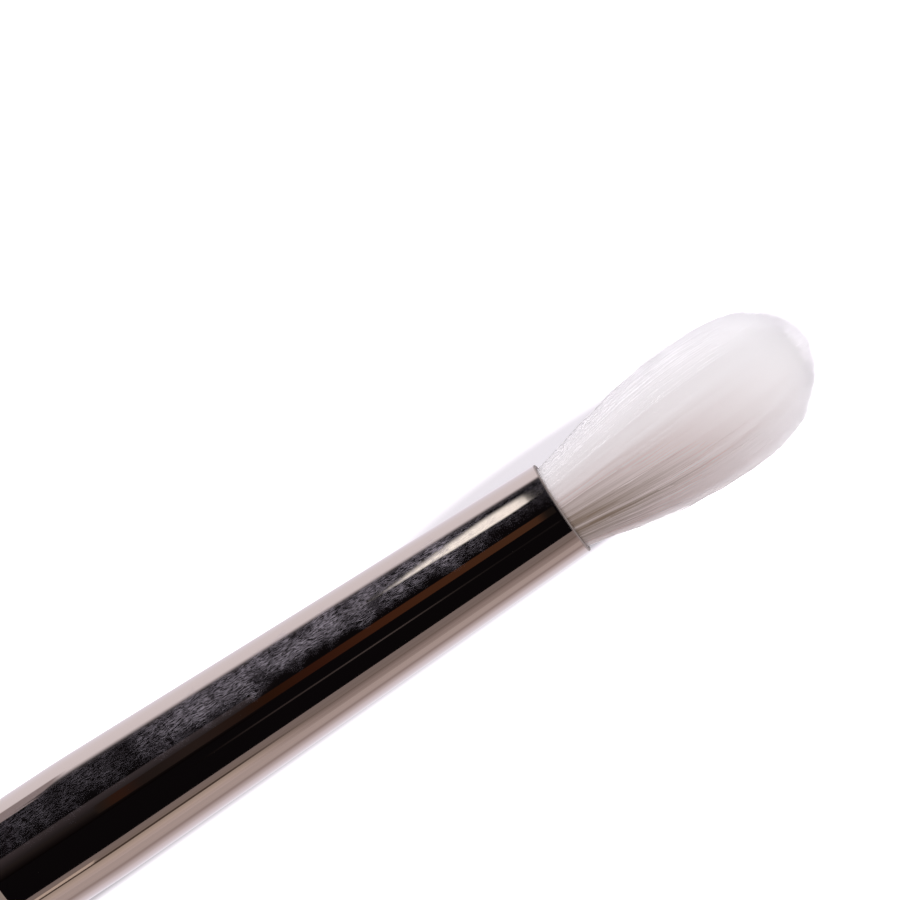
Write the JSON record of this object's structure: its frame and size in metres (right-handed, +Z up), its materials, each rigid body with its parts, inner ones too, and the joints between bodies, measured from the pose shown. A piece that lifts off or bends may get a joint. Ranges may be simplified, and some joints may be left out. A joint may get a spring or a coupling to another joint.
{
  "type": "eyeshadow brush",
  "caption": "Slim brush for eyeshadow: a domed tuft of white hair in a conical nickel-plated ferrule with crimp rings, on a turned, lacquered wooden handle.",
  "frame": {"origin": "on the table under the middle of the brush's length, with the brush lying on its side on its head and handle", "axes": "+X along the brush's axis towards the tip of the bristles, +Z up from the table, +Y across the brush"},
  "size_m": [0.1711, 0.0094, 0.0095],
  "materials": {
    "hair": "fine soft white hair, slightly glossy along its length",
    "epoxy": "clear amber adhesive",
    "plated_metal": "drawn brass, polished and nickel plated, with fine handling scratches",
    "lacquered_wood": "gloss black lacquer on turned wood"
  },
  "bodies": {
    "root": {"bristles": "hair", "glue_plug": "epoxy", "ferrule": "plated_metal", "tenon_glue": "epoxy", "handle": "lacquered_wood"}
  },
  "joints": []
}
